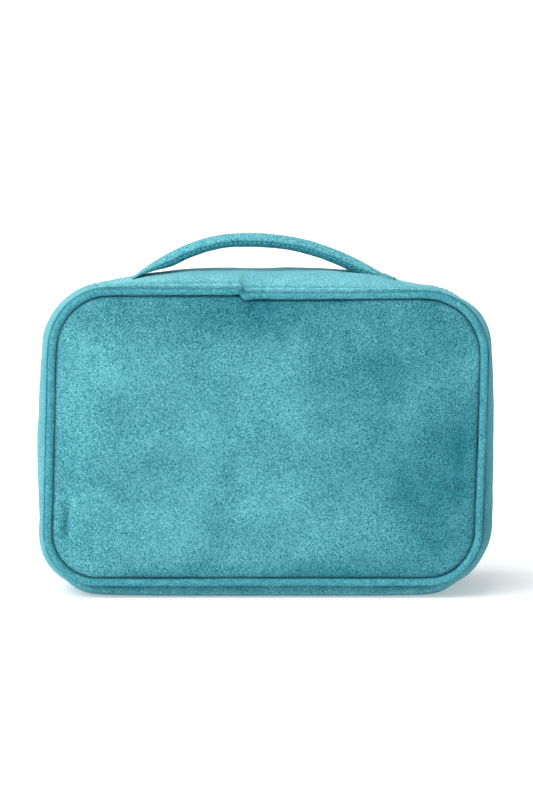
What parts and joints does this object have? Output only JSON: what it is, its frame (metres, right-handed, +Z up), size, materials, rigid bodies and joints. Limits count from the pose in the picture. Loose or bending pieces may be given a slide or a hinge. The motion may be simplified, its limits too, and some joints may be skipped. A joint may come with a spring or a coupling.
{
  "type": "makeup bag",
  "caption": "Soft padded makeup case with piped edges, a zipped lid hinged along its base and a padded strap handle on top.",
  "frame": {"origin": "middle of the footprint, at the surface that the case stands on", "axes": "+Z up, +X along the case's width, +Y from the plain rear panel towards the zipped lid"},
  "size_m": [0.2606, 0.102, 0.1993],
  "materials": {
    "outer_suede": "teal microsuede with a short brushed nap",
    "piping_suede": "teal microsuede cut on the bias",
    "foam": "light padding foam and cotton filler cord, hidden",
    "lining": "satin lining",
    "binding": "woven binding tape",
    "zip_tape": "woven zip tape",
    "zip_coil": "moulded nylon coil",
    "zip_metal": "polished pale gold plating",
    "elastic": "ribbed elastic",
    "mesh": "open polyester mesh",
    "board": "stiff board"
  },
  "bodies": {
    "case": {"rear_panel": "outer_suede", "rear_panel_foam": "foam", "rear_panel_lining": "lining", "rear_piping": "piping_suede", "rear_piping_cord": "foam", "rear_seam_binding": "binding", "gusset_top": "outer_suede", "gusset_surround": "outer_suede", "gusset_foam": "foam", "gusset_lining": "lining", "base_board": "board", "hinge_tape": "binding", "zip_tape_case": "zip_tape", "zip_coil_case": "zip_coil", "zip_end_tab_left": "outer_suede", "zip_end_tab_right": "outer_suede", "slip_pocket": "lining", "slip_pocket_elastic": "elastic", "handle_end_left": "outer_suede", "handle_end_right": "outer_suede"},
    "lid": {"lid_panel": "outer_suede", "lid_panel_foam": "foam", "lid_panel_lining": "lining", "lid_piping": "piping_suede", "lid_piping_cord": "foam", "lid_seam_binding": "binding", "lid_gusset": "outer_suede", "lid_gusset_lining": "lining", "zip_tape_lid": "zip_tape", "zip_coil_lid": "zip_coil", "mesh_pocket": "mesh", "mesh_pocket_elastic": "elastic"},
    "handle": {"handle_strap": "outer_suede", "handle_padding": "foam"},
    "slider_left": {"zip_slider_left": "zip_metal"},
    "pull_left": {"zip_pull_left": "zip_metal"},
    "slider_right": {"zip_slider_right": "zip_metal"},
    "pull_right": {"zip_pull_right": "zip_metal"}
  },
  "joints": [
    {"name": "lid_hinge", "type": "hinge", "parent": "case", "child": "lid", "pos_m": [0, 0.0475, 0.0108], "axis": [-1, 0, 0], "range_deg": [0, 90]},
    {"name": "handle_lean", "type": "hinge", "parent": "case", "child": "handle", "pos_m": [0, -0.002, 0.1792], "axis": [1, 0, 0], "range_deg": [-25, 25], "stiffness_Nm_per_rad": 0.03},
    {"name": "slider_left_travel", "type": "slide", "parent": "case", "child": "slider_left", "axis": [-1, 0, 0], "range_m": [0, 0.045]},
    {"name": "pull_left_lift", "type": "hinge", "parent": "slider_left", "child": "pull_left", "pos_m": [-0.007, 0.0345, 0.1724], "axis": [0, 1, 0], "range_deg": [0, 90]},
    {"name": "slider_right_travel", "type": "slide", "parent": "case", "child": "slider_right", "axis": [1, 0, 0], "range_m": [0, 0.045]},
    {"name": "pull_right_lift", "type": "hinge", "parent": "slider_right", "child": "pull_right", "pos_m": [0.007, 0.0345, 0.1724], "axis": [0, -1, 0], "range_deg": [0, 90]}
  ]
}
